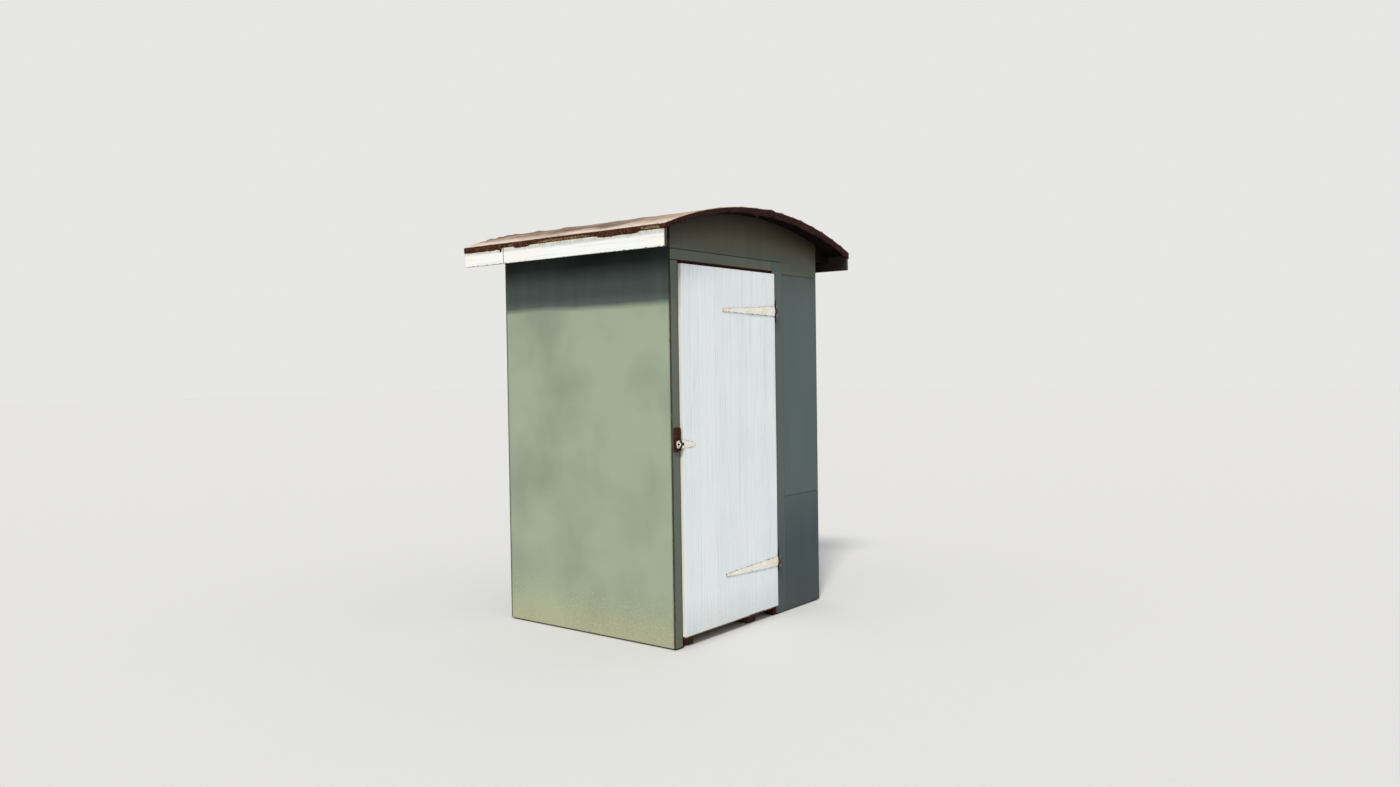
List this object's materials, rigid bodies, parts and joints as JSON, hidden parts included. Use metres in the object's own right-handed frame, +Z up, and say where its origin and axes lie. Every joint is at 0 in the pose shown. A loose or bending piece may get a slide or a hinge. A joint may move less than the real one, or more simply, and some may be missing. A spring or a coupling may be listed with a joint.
{
  "type": "garden shed",
  "caption": "Small timber garden shed with a shallow barrel roof of felt on boards, flat green wall sheets, white fascias and a white boarded door on strap hinges.",
  "frame": {"origin": "on the ground under the middle of the roof", "axes": "+Z up, +Y from the door to the back, +X to the right of someone who faces the door"},
  "size_m": [1.784, 1.468, 2.2888],
  "materials": {
    "rough_timber": "sawn softwood, darkened with age",
    "green_sheet": "hardboard sheet in weathered grey green paint",
    "white_fascia": "planed board in peeling white gloss paint",
    "white_door": "matchboard in satin white paint",
    "roofing_felt": "mineral bitumen felt, faded and worn",
    "painted_iron": "off white paint with rust",
    "dark_iron": "black japanned iron, rusty",
    "brown_block": "dark red brown stained block"
  },
  "bodies": {
    "root": {"arch_panel_front": "green_sheet", "arch_panel_rear": "green_sheet", "bearer_left": "rough_timber", "bearer_middle": "rough_timber", "bearer_right": "rough_timber", "casing_left": "green_sheet", "casing_right": "green_sheet", "door_head": "rough_timber", "door_post": "rough_timber", "fascia_left": "white_fascia", "fascia_right": "white_fascia", "floor_boards": "rough_timber", "front_header": "green_sheet", "front_panel": "green_sheet", "front_panel_low": "green_sheet", "hinge_plate_lower": "dark_iron", "hinge_plate_upper": "dark_iron", "plate_front": "rough_timber", "plate_left": "rough_timber", "plate_rear": "rough_timber", "plate_right": "rough_timber", "post_front_left": "rough_timber", "post_front_right": "rough_timber", "post_rear_left": "rough_timber", "post_rear_right": "rough_timber", "rail_front": "rough_timber", "rail_left": "rough_timber", "rail_right": "rough_timber", "rear_stud": "rough_timber", "rib_front": "rough_timber", "rib_middle": "rough_timber", "rib_rear": "rough_timber", "roof_boards": "rough_timber", "roof_felt": "roofing_felt", "staple": "painted_iron", "staple_block": "brown_block", "wall_sheet_left": "green_sheet", "wall_sheet_right": "green_sheet", "wall_sheets_rear": "green_sheet"},
    "door": {"door_boards": "white_door", "door_brace": "rough_timber", "door_ledge_lower": "rough_timber", "door_ledge_upper": "rough_timber", "hasp_plate": "painted_iron", "strap_lower": "painted_iron", "strap_upper": "painted_iron"},
    "hasp": {"hasp_leaf": "painted_iron"}
  },
  "joints": [
    {"name": "door_swing", "type": "hinge", "parent": "root", "child": "door", "pos_m": [0.224, -0.636, 1], "axis": [0, 0, 1], "range_deg": [0, 120]},
    {"name": "hasp_swing", "type": "hinge", "parent": "door", "child": "hasp", "pos_m": [-0.645, -0.633, 1.046], "axis": [0, 0, 1], "range_deg": [0, 150]}
  ]
}
